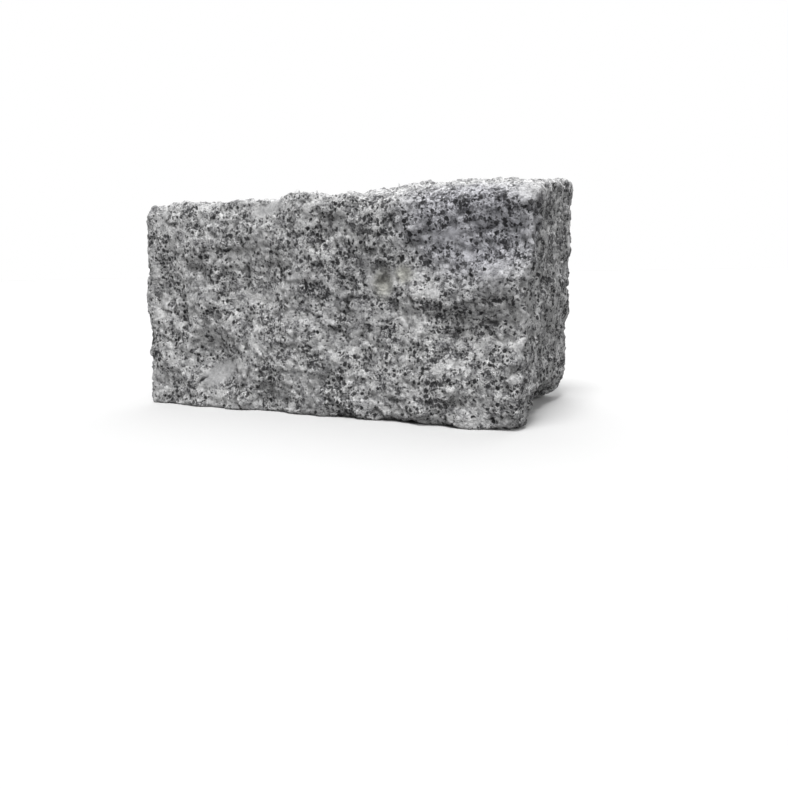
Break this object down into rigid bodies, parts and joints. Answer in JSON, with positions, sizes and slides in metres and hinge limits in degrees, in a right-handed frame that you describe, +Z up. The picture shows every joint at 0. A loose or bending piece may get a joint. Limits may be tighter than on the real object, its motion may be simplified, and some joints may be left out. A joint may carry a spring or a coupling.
{
  "type": "split granite wall block",
  "caption": "Squat rough-split granite block with hackly fracture faces and worn arrises, laid on its bed in a dry or mortared wall or set on end as edging.",
  "frame": {"origin": "on the floor, under the middle of the block's bounding box", "axes": "+X along the length towards the taller end, +Y from the front face to the back face, +Z up from the bed"},
  "size_m": [0.4174, 0.1942, 0.221],
  "materials": {
    "granite": "rough split, light grey with white feldspar, grey quartz and black mica grains"
  },
  "bodies": {
    "root": {"granite_block": "granite"}
  },
  "joints": []
}
